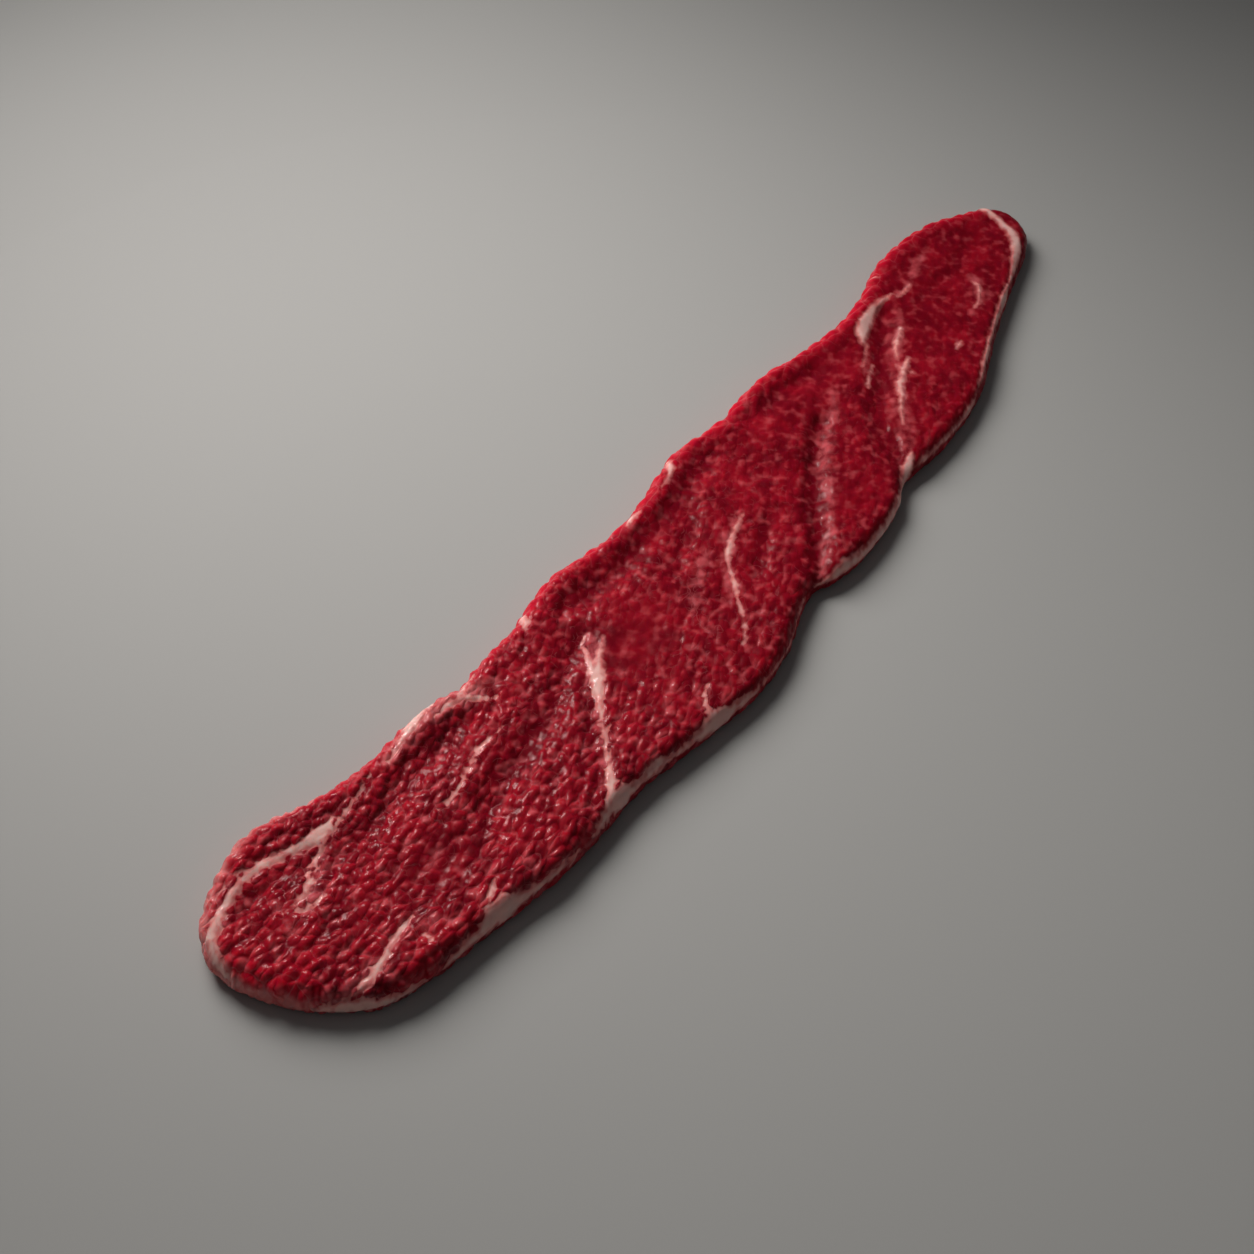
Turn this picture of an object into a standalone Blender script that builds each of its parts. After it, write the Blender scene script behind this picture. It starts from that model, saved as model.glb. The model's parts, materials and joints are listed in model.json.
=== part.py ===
"""A raw beef skirt steak: one long, thin strip of muscle lying flat on its underside.

Seen from above, the strip has an uneven, scalloped outline, a wide end and a narrow one.
A sheet of four-sided cells is stretched over that outline, domed at the rim and pressed
into the folds that cross the meat. Each cell is one bundle of muscle fibres, so it is
poked up to a low point at its middle. Below its widest line the side curves in to the
flat underside.

Run it with: blender --background --python part.py
Sizes are named in millimetres and the model is in metres. +X runs along the steak to its
narrow end, +Z is up, and the origin is at the middle of the underside.
"""

import random

import bmesh
import bpy
import numpy as np
from mathutils import Vector, noise

MM = 0.001

# The outline from above, anticlockwise, with one point wherever the edge bends.
RIGHT_EDGE = (
    (-222, -15), (-213, -24), (-200, -29.2), (-180, -33.2), (-160, -36.6), (-142, -39.6),
    (-125, -40.2), (-105, -40.2), (-85, -43.4), (-65, -47.2), (-50, -49.2), (-38, -48.9),
    (-25, -46.8), (-12, -42.2), (1, -39.6), (10, -42.8), (24, -45.3), (40, -45.1),
    (55, -42.8), (66, -38.2), (74, -38.4), (92, -40.1), (112, -39.6), (130, -36.8),
    (145, -31.6), (165, -24.4), (190, -17),
)  # fmt: skip
NARROW_END = ((214, -10.7), (226, -5.4), (233.2, 3), (235, 10.5), (232, 18))
LEFT_EDGE = (
    (224, 23.8), (206, 33.2), (184, 37.2), (168, 36.6), (150, 31.8), (134, 29.4),
    (118, 30), (100, 32.8), (82, 37.1), (66, 37), (50, 36), (38, 38.2), (26, 39.9),
    (12, 38), (-2, 34.8), (-16, 33.7), (-32, 34.9), (-50, 38.5), (-64, 37.3), (-80, 34.5),
    (-100, 33.9), (-109, 32.3), (-118, 35.3), (-130, 37), (-150, 36.9), (-170, 40.3),
    (-186, 46.6), (-198, 49.2), (-210, 46.6),
)  # fmt: skip
WIDE_END = ((-222, 40.9), (-230, 34.4), (-234.6, 25.5), (-234.9, 15), (-232, 4), (-228, -5.6))

# Thickness: the strip thins towards its narrow end, and the left rim stands proud.
THICKNESS_WIDE_END = 11.2
THICKNESS_NARROW_END = 8.8
HALF_LENGTH = 235
USUAL_WIDTH = 80
LEFT_CREST_HEIGHT = 1.5
LEFT_CREST_INSET = 7.0
LEFT_CREST_WIDTH = 5.0
SWELL_HEIGHT = 0.7
SWELL_SPACING = 26.0
THINNEST = 5.5

# The side: its widest line, and how far in the top and the underside curve away from it.
WIDEST_HEIGHT = 3.8
TOP_ROUNDING = 5.0
UNDERSIDE_STEPS = ((0.9, 1.3), (2.3, 0.0))

# Folds pressed into the top: depth, half width, and the line that each one follows.
FOLDS = (
    (1.5, 4.0, ((-216, 28.5), (-203, 28.5), (-189, 26.5))),
    (1.8, 5.5, ((-190, 19), (-165, 18), (-140, 20), (-121, 21))),
    (2.2, 5.5, ((-68, 13), (-82, 8), (-97, 1), (-118, -3), (-142, -6))),
    (1.0, 3.5, ((-84, -2), (-97, -14), (-107, -25))),
    (1.0, 10.0, ((-176, -10), (-160, -13), (-146, -11))),
    (1.7, 5.5, ((-62, 25), (-44, 20), (-18, 21), (6, 23), (30, 27))),
    (1.3, 4.0, ((-26, 4), (-10, 9), (5, 16))),
    (1.1, 4.0, ((-8, -21), (7, -14), (22, -10))),
    (3.0, 4.5, ((72, 3), (58, -4), (44, -12), (30, -22), (15, -33), (2, -42))),
    (2.2, 5.0, ((142, 17), (128, 9), (108, -3), (90, -12), (78, -24), (70, -40))),
    (1.4, 5.5, ((58, 26), (78, 24), (100, 22))),
    (1.0, 4.5, ((158, 9), (182, 8), (206, 10))),
)

# The cells of muscle across the top: their size, and how unevenly they lie.
CELL_LENGTH = 4.7
CELL_WIDTH = 4.5
CELL_SLANT = 0.055
CELL_WANDER = 0.45
CELL_RISE = (0.45, 1.05)
SEED = 41

# How finely curves are followed, and how near 0 or 1 a share counts as being on the rim.
SPLINE_STEPS = 10
RIM = 1e-6

MEAT_RED = (0.235, 0.012, 0.018)
MEAT_ROUGHNESS = 0.32


def spline(points, closed):
    """A smooth line through the points, as an array of points closer together."""
    known = np.array(points, float)
    if closed:
        known = np.vstack([known[-1], known, known[:2]])
    else:
        known = np.vstack([2 * known[0] - known[1], known, 2 * known[-1] - known[-2]])
    t = (np.arange(SPLINE_STEPS) / SPLINE_STEPS)[:, None]
    stretches = []
    for p0, p1, p2, p3 in zip(known, known[1:], known[2:], known[3:]):
        bend = (2 * p0 - 5 * p1 + 4 * p2 - p3) * t**2 + (3 * p1 - p0 - 3 * p2 + p3) * t**3
        stretches.append(p1 + 0.5 * ((p2 - p0) * t + bend))
    if not closed:
        stretches.append(known[-2:-1])
    return np.vstack(stretches)


def distance_to_line(points, line, closed=False):
    """Each point's distance to a line given as an array of its own points."""
    starts = line
    ends = np.roll(line, -1, axis=0)
    if not closed:
        starts, ends = starts[:-1], ends[:-1]
    nearest = np.full(len(points), np.inf)
    for start, end in zip(starts, ends):
        along = end - start
        share = np.clip((points - start) @ along / (along @ along), 0, 1)
        gap = np.hypot(*(points - start - share[:, None] * along).T)
        nearest = np.minimum(nearest, gap)
    return nearest


def outline_loop():
    """The outline's four sides in turn, anticlockwise, each ending where the next begins."""
    groups = (RIGHT_EDGE, NARROW_END, LEFT_EDGE, WIDE_END)
    line = spline([point for group in groups for point in group], closed=True)
    line = np.vstack([line, line[:1]])
    turns = np.cumsum([0] + [len(group) * SPLINE_STEPS for group in groups])
    return [line[start : end + 1] for start, end in zip(turns, turns[1:])]


def at_share(line, share):
    """The points of a line at these shares of its length, from 0 to 1."""
    lengths = np.hypot(*np.diff(line, axis=0).T)
    so_far = np.concatenate([[0], np.cumsum(lengths)]) / lengths.sum()
    return np.stack([np.interp(share, so_far, line[:, k]) for k in (0, 1)], axis=-1)


def rim_spacing(share, length):
    """Shares that bunch up at both ends, so that rows of even size run over the round rim."""
    quarter_arc = TOP_ROUNDING * np.pi / 2
    whole = length + 2 * (quarter_arc - TOP_ROUNDING)
    walked = np.minimum(share, 1 - share) * whole
    inset = np.where(
        walked < quarter_arc,
        TOP_ROUNDING * (1 - np.cos(walked / TOP_ROUNDING)),
        walked - quarter_arc + TOP_ROUNDING,
    )
    return np.where(share < 0.5, inset, length - inset) / length


def stretch_over_outline(u, v):
    """The place on the outline's plane of each point (u, v) of a unit square sheet."""
    right, narrow, left, wide = outline_loop()
    left, wide = left[::-1], wide[::-1]
    u, v = rim_spacing(u, 2 * HALF_LENGTH), rim_spacing(v, USUAL_WIDTH)
    a, b = u[:, None], v[:, None]
    between_edges = (1 - b) * at_share(right, u) + b * at_share(left, u)
    between_ends = (1 - a) * at_share(wide, v) + a * at_share(narrow, v)
    near_corners = (1 - b) * right[0] + b * left[0]
    far_corners = (1 - b) * right[-1] + b * left[-1]
    return between_edges + between_ends - (1 - a) * near_corners - a * far_corners


def top_height(points, side, inset):
    """Height of the smooth top, where side is 0 at the right edge and 1 at the left one."""
    along = (points[:, 0] / HALF_LENGTH + 1) / 2
    height = THICKNESS_WIDE_END + (THICKNESS_NARROW_END - THICKNESS_WIDE_END) * along
    crest = np.exp(-(((inset - LEFT_CREST_INSET) / LEFT_CREST_WIDTH) ** 2))
    height += LEFT_CREST_HEIGHT * crest * side**2
    for k, (x, y) in enumerate(points):
        height[k] += SWELL_HEIGHT * noise.noise(Vector((x, y, 0)) / SWELL_SPACING)
    for depth, half_width, route in FOLDS:
        away = distance_to_line(points, spline(route, closed=False))
        height -= depth * np.exp(-((away / half_width) ** 2))
    height = np.maximum(height, THINNEST)
    rise = np.clip(inset / TOP_ROUNDING, 0, 1)
    return WIDEST_HEIGHT + (height - WIDEST_HEIGHT) * np.sqrt(1 - (1 - rise) ** 2)


def wander(u, v, columns, rows):
    """Moves the sheet's inner points a little off their rows, and slants its columns."""
    draws = random.Random(SEED)
    shift = CELL_WANDER * np.array([(draws.uniform(-1, 1), draws.uniform(-1, 1)) for _ in u])
    shift[(u < RIM) | (u > 1 - RIM) | (v < RIM) | (v > 1 - RIM)] = 0
    slant = CELL_SLANT * np.sin(np.pi * u) * (2 * v - 1)
    return u + slant + shift[:, 0] / columns, v + shift[:, 1] / rows


def add_top(mesh):
    """The top of the steak: a sheet stretched over the outline, with its cells poked up."""
    columns = round(2 * HALF_LENGTH / CELL_LENGTH)
    rows = round(USUAL_WIDTH / CELL_WIDTH) + 1
    bmesh.ops.create_grid(mesh, x_segments=columns, y_segments=rows, size=0.5)
    square = np.array([vertex.co.xy for vertex in mesh.verts]) + 0.5
    u, v = wander(square[:, 0], square[:, 1], columns, rows)
    places = stretch_over_outline(u, v)
    outline = np.vstack([side[:-1] for side in outline_loop()])
    heights = top_height(places, v, distance_to_line(places, outline, closed=True))
    for vertex, place, height in zip(mesh.verts, places, heights):
        vertex.co = Vector((*place, height)) * MM
    mesh.normal_update()
    draws = random.Random(SEED)
    for middle in bmesh.ops.poke(mesh, faces=mesh.faces)["verts"]:
        middle.co += middle.normal * draws.uniform(*CELL_RISE) * MM


def add_underside(mesh):
    """Carries the sheet's rim down and in, in steps, and closes it with one flat face."""
    inwards = mesh.verts.layers.float_vector.new("inwards")
    rim = [edge for edge in mesh.edges if edge.is_boundary]
    for edge in rim:
        loop = edge.link_loops[0]
        run = loop.link_loop_next.vert.co - loop.vert.co
        for vertex in edge.verts:
            vertex[inwards] += Vector((-run.y, run.x, 0)).normalized()
    for inset, height in UNDERSIDE_STEPS:
        grown = bmesh.ops.extrude_edge_only(mesh, edges=rim)["geom"]
        for vertex in grown:
            if isinstance(vertex, bmesh.types.BMVert):
                vertex.co += vertex[inwards].normalized() * inset * MM
                vertex.co.z = height * MM
        rim = [e for e in grown if isinstance(e, bmesh.types.BMEdge) and e.is_boundary]
    bmesh.ops.contextual_create(mesh, geom=rim)


def raw_meat():
    """Wet, dark red muscle."""
    material = bpy.data.materials.new("raw_meat")
    material.use_nodes = True
    shader = material.node_tree.nodes["Principled BSDF"]
    shader.inputs["Base Color"].default_value = (*MEAT_RED, 1)
    shader.inputs["Roughness"].default_value = MEAT_ROUGHNESS
    shader.inputs["Metallic"].default_value = 0
    return material


def add_steak():
    """The whole steak as one object, standing on the ground plane about the origin."""
    mesh = bmesh.new()
    add_top(mesh)
    add_underside(mesh)
    bmesh.ops.recalc_face_normals(mesh, faces=mesh.faces)
    corners = np.array([vertex.co for vertex in mesh.verts])
    middle = (corners.min(axis=0) + corners.max(axis=0)) / 2
    bmesh.ops.translate(mesh, verts=mesh.verts, vec=(-middle[0], -middle[1], 0))
    data = bpy.data.meshes.new("steak")
    mesh.to_mesh(data)
    mesh.free()
    data.materials.append(raw_meat())
    bpy.context.scene.collection.objects.link(bpy.data.objects.new("steak", data))


def main():
    for old in list(bpy.data.objects):
        bpy.data.objects.remove(old)
    add_steak()


main()
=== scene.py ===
# %% [markdown]
# # A raw skirt steak
# One long, thin strip of raw beef lies flat on a pale surface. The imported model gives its
# place and its size. This script builds the same strip again with the surface that a butcher
# would know: bundles of muscle packed like pebbles, folds that slant across the strip, cream
# fat that fills the gaps between bundles, and a wet shine over all of it.

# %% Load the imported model
import json
import math

import bmesh
import bpy
import numpy as np
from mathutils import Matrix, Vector, noise
from mathutils.bvhtree import BVHTree

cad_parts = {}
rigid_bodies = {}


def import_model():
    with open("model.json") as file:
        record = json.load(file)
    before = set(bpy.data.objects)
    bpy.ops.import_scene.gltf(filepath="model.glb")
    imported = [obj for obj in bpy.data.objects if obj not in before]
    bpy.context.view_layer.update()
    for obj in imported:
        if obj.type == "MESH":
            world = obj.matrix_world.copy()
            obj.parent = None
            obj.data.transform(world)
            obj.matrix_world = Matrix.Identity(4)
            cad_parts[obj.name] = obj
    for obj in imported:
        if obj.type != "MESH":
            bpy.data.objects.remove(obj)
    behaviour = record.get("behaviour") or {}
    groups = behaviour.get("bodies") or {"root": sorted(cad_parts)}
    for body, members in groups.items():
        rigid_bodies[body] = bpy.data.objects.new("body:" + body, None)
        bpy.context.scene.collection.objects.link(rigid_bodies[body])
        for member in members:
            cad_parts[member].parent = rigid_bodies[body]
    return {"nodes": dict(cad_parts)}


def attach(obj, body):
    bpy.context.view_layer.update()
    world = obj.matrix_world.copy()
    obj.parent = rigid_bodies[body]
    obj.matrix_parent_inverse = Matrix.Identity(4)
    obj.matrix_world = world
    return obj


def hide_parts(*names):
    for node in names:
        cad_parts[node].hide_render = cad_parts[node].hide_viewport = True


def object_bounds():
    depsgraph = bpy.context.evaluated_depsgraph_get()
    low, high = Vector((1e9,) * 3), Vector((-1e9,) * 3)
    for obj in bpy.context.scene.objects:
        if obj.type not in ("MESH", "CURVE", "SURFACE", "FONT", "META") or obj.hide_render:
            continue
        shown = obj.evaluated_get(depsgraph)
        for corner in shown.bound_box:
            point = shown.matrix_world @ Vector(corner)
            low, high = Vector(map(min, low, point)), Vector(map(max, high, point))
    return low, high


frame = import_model()
cad_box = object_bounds()
MM = 0.001
cad_size = cad_box[1] - cad_box[0]
print("nodes:", sorted(frame["nodes"]), "box in mm:", [round(c / MM, 1) for c in cad_size])

# %% [markdown]
# ## Camera
# The view looks down at 50 degrees from the wide end of the strip, so the strip runs from the
# lower left of the picture to the upper right. A 50 mm lens on a 36 mm sensor is Blender's own
# default. The place is worked out from angles, because those are easier to judge than metres.

# %% Camera
CAMERA_AIM = Vector((-49.07, 6.28, 0)) * MM
CAMERA_DISTANCE = 617 * MM
CAMERA_AZIMUTH = math.radians(-53.64)
CAMERA_ELEVATION = math.radians(50)


def direction(azimuth, elevation):
    """The way from the steak to a camera or lamp: azimuth 0 is -Y, and 90 degrees is +X."""
    level = math.cos(elevation)
    return Vector((math.sin(azimuth) * level, -math.cos(azimuth) * level, math.sin(elevation)))


def place(name, data, aim, towards, distance):
    """Puts a camera or a lamp at a distance from its aim, turned to look at it."""
    thing = bpy.data.objects.new(name, data)
    thing.location = aim + towards * distance
    thing.rotation_euler = (-towards).to_track_quat("-Z", "Y").to_euler()
    bpy.context.scene.collection.objects.link(thing)
    return thing


camera_data = bpy.data.cameras.new("camera")
camera_data.lens = 50
camera_data.sensor_width = 36
camera = place(
    "camera", camera_data, CAMERA_AIM, direction(CAMERA_AZIMUTH, CAMERA_ELEVATION), CAMERA_DISTANCE
)
bpy.context.scene.camera = camera
print("camera at, in mm:", [round(c / MM) for c in camera.location])

# %% [markdown]
# ## Light and floor
# A large soft lamp stands behind the strip's left edge, low enough to drag a short shadow
# towards the right edge. Its spread is narrowed, as a studio lamp's is by a grid, so the floor
# darkens towards the corners of the picture. Mirrored in wet meat, so large a lamp would lie
# over it as a grey haze, so it is hidden from reflections. A smaller, warmer lamp in the same
# place shows in reflections only, as little glints on the bundles. A faint world light fills
# the shadows.
# The colours are shown with the Standard view, which keeps a deep red as deep as it was set.

# %% Light and floor
KEY_AIM = Vector((-65, 25, 0)) * MM
KEY_AZIMUTH = math.radians(160)
KEY_ELEVATION = math.radians(40)
KEY_DISTANCE = 0.8
KEY_SIZE = 0.54
LAMP_SPREAD = math.radians(75)
KEY_POWER = 1.7
GLINT_SIZE = 0.24
GLINT_POWER = 1.5
GLINT_COLOUR = (1.0, 0.8, 0.77)
FILL_STRENGTH = 0.07
FILL_COLOUR = (0.93, 0.96, 1, 1)


def area_lamp(name, size, power):
    """A square lamp that shines on the steak from the key's direction."""
    data = bpy.data.lights.new(name, "AREA")
    data.shape = "SQUARE"
    data.size = size
    data.spread = LAMP_SPREAD
    data.energy = power
    return place(name, data, KEY_AIM, direction(KEY_AZIMUTH, KEY_ELEVATION), KEY_DISTANCE)


area_lamp("key", KEY_SIZE, KEY_POWER).visible_glossy = False
glint = area_lamp("glint", GLINT_SIZE, GLINT_POWER)
glint.data.color = GLINT_COLOUR
glint.visible_diffuse = False

world = bpy.data.worlds.new("studio")
world.use_nodes = True
world.node_tree.nodes["Background"].inputs["Color"].default_value = FILL_COLOUR
world.node_tree.nodes["Background"].inputs["Strength"].default_value = FILL_STRENGTH
bpy.context.scene.world = world
bpy.context.scene.view_settings.view_transform = "Standard"

FLOOR_SIZE = 2.5
FLOOR_COLOUR = (0.46, 0.445, 0.42, 1)
floor_mesh = bmesh.new()
bmesh.ops.create_grid(floor_mesh, x_segments=1, y_segments=1, size=FLOOR_SIZE / 2)
floor_data = bpy.data.meshes.new("floor")
floor_mesh.to_mesh(floor_data)
floor_mesh.free()
floor = bpy.data.objects.new("floor", floor_data)
bpy.context.scene.collection.objects.link(floor)
floor_paint = bpy.data.materials.new("floor")
floor_paint.use_nodes = True
floor_shader = floor_paint.node_tree.nodes["Principled BSDF"]
floor_shader.inputs["Base Color"].default_value = FLOOR_COLOUR
floor_shader.inputs["Roughness"].default_value = 0.8
floor_shader.inputs["Specular IOR Level"].default_value = 0.2
floor_data.materials.append(floor_paint)

# %% [markdown]
# ## Outline
# The strip's edge wanders in and out, so it is drawn as points in millimetres, with a
# smooth curve through them. The points are the ones that the solid model was built from: two
# long edges and two ends, run anticlockwise.

# %% Outline
RIGHT_EDGE = (
    (-222, -15), (-213, -24), (-200, -29.2), (-180, -33.2), (-160, -36.6), (-142, -39.6),
    (-125, -40.2), (-105, -40.2), (-85, -43.4), (-65, -47.2), (-50, -49.2), (-38, -48.9),
    (-25, -46.8), (-12, -42.2), (1, -39.6), (10, -42.8), (24, -45.3), (40, -45.1),
    (55, -42.8), (66, -38.2), (74, -38.4), (92, -40.1), (112, -39.6), (130, -36.8),
    (145, -31.6), (165, -24.4), (190, -17),
)  # fmt: skip
NARROW_END = ((214, -10.7), (226, -5.4), (233.2, 3), (235, 10.5), (232, 18))
LEFT_EDGE = (
    (224, 23.8), (206, 33.2), (184, 37.2), (168, 36.6), (150, 31.8), (134, 29.4),
    (118, 30), (100, 32.8), (82, 37.1), (66, 37), (50, 36), (38, 38.2), (26, 39.9),
    (12, 38), (-2, 34.8), (-16, 33.7), (-32, 34.9), (-50, 38.5), (-64, 37.3), (-80, 34.5),
    (-100, 33.9), (-109, 32.3), (-118, 35.3), (-130, 37), (-150, 36.9), (-170, 40.3),
    (-186, 46.6), (-198, 49.2), (-210, 46.6),
)  # fmt: skip
WIDE_END = ((-222, 40.9), (-230, 34.4), (-234.6, 25.5), (-234.9, 15), (-232, 4), (-228, -5.6))
SPLINE_STEPS = 10


def spline(points, closed=False):
    """A smooth line through the points, as an array of rows closer together."""
    known = np.array(points, float)
    if closed:
        known = np.vstack([known[-1], known, known[:2]])
    else:
        known = np.vstack([2 * known[0] - known[1], known, 2 * known[-1] - known[-2]])
    t = (np.arange(SPLINE_STEPS) / SPLINE_STEPS)[:, None]
    stretches = []
    for p0, p1, p2, p3 in zip(known, known[1:], known[2:], known[3:]):
        bend = (2 * p0 - 5 * p1 + 4 * p2 - p3) * t**2 + (3 * p1 - p0 - 3 * p2 + p3) * t**3
        stretches.append(p1 + 0.5 * ((p2 - p0) * t + bend))
    if not closed:
        stretches.append(known[-2:-1])
    return np.vstack(stretches)


SIDES = (RIGHT_EDGE, NARROW_END, LEFT_EDGE, WIDE_END)
outline = spline([point for side in SIDES for point in side], closed=True)
run = np.roll(outline, -1, axis=0) - np.roll(outline, 1, axis=0)
outline_outwards = np.stack([run[:, 1], -run[:, 0]], axis=1) / np.hypot(*run.T)[:, None]
print("outline:", len(outline), "points, box in mm:", np.ptp(outline, axis=0).round(1))

# %% [markdown]
# ## Thickness and folds
# The strip is thickest at its wide end, its left edge stands a little proud, and folds run
# slantwise across it. Each fold is a line with a depth and a half width, and the height falls
# off on both sides of it along a bell curve. A few of them run out at notches in the right edge.

# %% Thickness and folds
THICKNESS_WIDE_END = 11.2
THICKNESS_NARROW_END = 8.8
HALF_LENGTH = 235
USUAL_WIDTH = 80
LEFT_CREST_HEIGHT = 1.5
LEFT_CREST_INSET = 7.0
LEFT_CREST_WIDTH = 5.0
SWELL_HEIGHT = 0.7
SWELL_SPACING = 26.0
THINNEST = 5.5
WIDEST_HEIGHT = 3.8
TOP_ROUNDING = 5.0
UNDER_INSET = 3.2

FOLD_REACH = 3.0
FOLDS = (
    (1.5, 4.0, ((-216, 28.5), (-203, 28.5), (-189, 26.5))),
    (1.8, 5.5, ((-190, 19), (-165, 18), (-140, 20), (-121, 21))),
    (2.2, 5.5, ((-68, 13), (-82, 8), (-97, 1), (-118, -3), (-142, -6))),
    (1.0, 3.5, ((-84, -2), (-97, -14), (-107, -25))),
    (1.0, 10.0, ((-176, -10), (-160, -13), (-146, -11))),
    (1.7, 5.5, ((-62, 25), (-44, 20), (-18, 21), (6, 23), (30, 27))),
    (1.3, 4.0, ((-26, 4), (-10, 9), (5, 16))),
    (1.1, 4.0, ((-8, -21), (7, -14), (22, -10))),
    (3.0, 4.5, ((72, 3), (58, -4), (44, -12), (30, -22), (15, -33), (2, -42))),
    (2.2, 5.0, ((142, 17), (128, 9), (108, -3), (90, -12), (78, -24), (70, -40))),
    (1.4, 5.5, ((58, 26), (78, 24), (100, 22))),
    (1.0, 4.5, ((158, 9), (182, 8), (206, 10))),
)


def nearest(points, line, values, closed=False):
    """Each point's distance to a line, and the line's own values at the place nearest to it."""
    ends = np.roll(line, -1, axis=0)
    end_values = np.roll(values, -1, axis=0)
    count = len(line) if closed else len(line) - 1
    distance = np.full(len(points), np.inf)
    found = np.zeros((len(points), values.shape[1]))
    for k in range(count):
        along = ends[k] - line[k]
        share = np.clip((points - line[k]) @ along / (along @ along), 0, 1)[:, None]
        gap = np.hypot(*(points - line[k] - share * along).T)
        closer = gap < distance
        distance[closer] = gap[closer]
        found[closer] = (values[k] + share * (end_values[k] - values[k]))[closer]
    return distance, found


def close_to(points, line, reach):
    """Which points lie in the box around a line, widened by a reach on every side."""
    low, high = line.min(axis=0) - reach, line.max(axis=0) + reach
    return np.flatnonzero(((points > low) & (points < high)).all(axis=1))


def fold_depth(points):
    """How far the folds press in the top at each point."""
    depth_there = np.zeros(len(points))
    for depth, half_width, route in FOLDS:
        line = spline(route)
        near = close_to(points, line, FOLD_REACH * half_width)
        away, _ = nearest(points[near], line, line)
        depth_there[near] += depth * np.exp(-((away / half_width) ** 2))
    return depth_there


def top_height(points, side, inset):
    """Height of the smooth top, where side is 0 at the right edge and 1 at the left one."""
    along = (points[:, 0] / HALF_LENGTH + 1) / 2
    height = THICKNESS_WIDE_END + (THICKNESS_NARROW_END - THICKNESS_WIDE_END) * along
    crest = np.exp(-(((inset - LEFT_CREST_INSET) / LEFT_CREST_WIDTH) ** 2))
    height += LEFT_CREST_HEIGHT * crest * side**2
    swell = [noise.noise(Vector((x, y, 0)) / SWELL_SPACING) for x, y in points]
    height += SWELL_HEIGHT * np.array(swell)
    height = np.maximum(height - fold_depth(points), THINNEST)
    rise = np.clip(inset / TOP_ROUNDING, 0, 1)
    return WIDEST_HEIGHT + (height - WIDEST_HEIGHT) * np.sqrt(1 - (1 - rise) ** 2)


# %% [markdown]
# ## The sheet
# The surface could be sculpted, or cut from a block, but a grid is easier to steer: a square
# sheet is stretched over the outline so that its four sides follow the four edges. Its rows are
# bunched up near the rim, where the surface turns down, so that every quad on the round rim
# stays as large as one on the flat top. Each vertex is about 0.8 mm from the next.

# %% Stretch a square sheet over the outline
COLUMNS = 600
ROWS = 112


def at_share(line, share):
    """The points of a line at these shares of its length, from 0 to 1."""
    lengths = np.hypot(*np.diff(line, axis=0).T)
    so_far = np.concatenate([[0], np.cumsum(lengths)]) / lengths.sum()
    return np.stack([np.interp(share, so_far, line[:, k]) for k in (0, 1)], axis=-1)


def stretch_over_outline(u, v, inset=0):
    """The place in plan of each point (u, v) of a unit square, inside the inset outline."""
    line = outline - outline_outwards * inset
    line = np.vstack([line, line[:1]])
    turns = np.cumsum([0] + [len(side) * SPLINE_STEPS for side in SIDES])
    right, narrow, left, wide = (line[a : b + 1] for a, b in zip(turns, turns[1:]))
    left, wide = left[::-1], wide[::-1]
    a, b = u[:, None], v[:, None]
    between_edges = (1 - b) * at_share(right, u) + b * at_share(left, u)
    between_ends = (1 - a) * at_share(wide, v) + a * at_share(narrow, v)
    near_corners = (1 - b) * right[0] + b * left[0]
    far_corners = (1 - b) * right[-1] + b * left[-1]
    return between_edges + between_ends - (1 - a) * near_corners - a * far_corners


QUARTER_ARC = TOP_ROUNDING * math.pi / 2


def rim_spacing(share, length):
    """Shares that bunch up at both ends, so that rows of even size run over the round rim."""
    whole = length + 2 * (QUARTER_ARC - TOP_ROUNDING)
    walked = np.minimum(share, 1 - share) * whole
    inset = np.where(
        walked < QUARTER_ARC,
        TOP_ROUNDING * (1 - np.cos(walked / TOP_ROUNDING)),
        walked - QUARTER_ARC + TOP_ROUNDING,
    )
    return np.where(share < 0.5, inset, length - inset) / length


def unrolled(places, inset, outwards):
    """Plan places moved outwards as if the round rim were rolled out flat beside the top."""
    walked = TOP_ROUNDING * np.arccos(1 - np.clip(inset / TOP_ROUNDING, 0, 1))
    covered = TOP_ROUNDING - np.minimum(inset, TOP_ROUNDING)
    extra = np.clip(QUARTER_ARC - walked - covered, 0, None)
    return places + outwards * extra[:, None]


# %% [markdown]
# ## The body
# The grid operator makes the top. Its open rim is extruded five times, down and in along a
# quarter ellipse, which gives the side. A second, coarser grid closes the underside, and
# bridge_loops sews the two rims together. Every vertex also keeps its place on the rolled-out
# sheet, because the pattern of the meat has to run over the rim without stretching.

# %% Build the body
SIDE_STEPS = 5
UNDER_GAP = 1.2


def set_layer(vertices, layer, rows):
    """Stores a row of two numbers on each vertex, in a layer that holds three."""
    for vertex, row in zip(vertices, rows):
        vertex[layer] = (*row, 0)


def add_top(mesh, sheet):
    """The fine grid over the top, down to the widest line of the side."""
    made = bmesh.ops.create_grid(mesh, x_segments=COLUMNS, y_segments=ROWS, size=0.5)["verts"]
    square = np.array([vertex.co.xy for vertex in made]) + 0.5
    u = rim_spacing(square[:, 0], 2 * HALF_LENGTH)
    v = rim_spacing(square[:, 1], USUAL_WIDTH)
    places = stretch_over_outline(u, v)
    inset, outwards = nearest(places, outline, outline_outwards, closed=True)
    heights = top_height(places, square[:, 1], inset)
    for vertex, (x, y), height in zip(made, places, heights):
        vertex.co = (x, y, height)
    set_layer(made, sheet, unrolled(places, inset, outwards))


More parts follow.
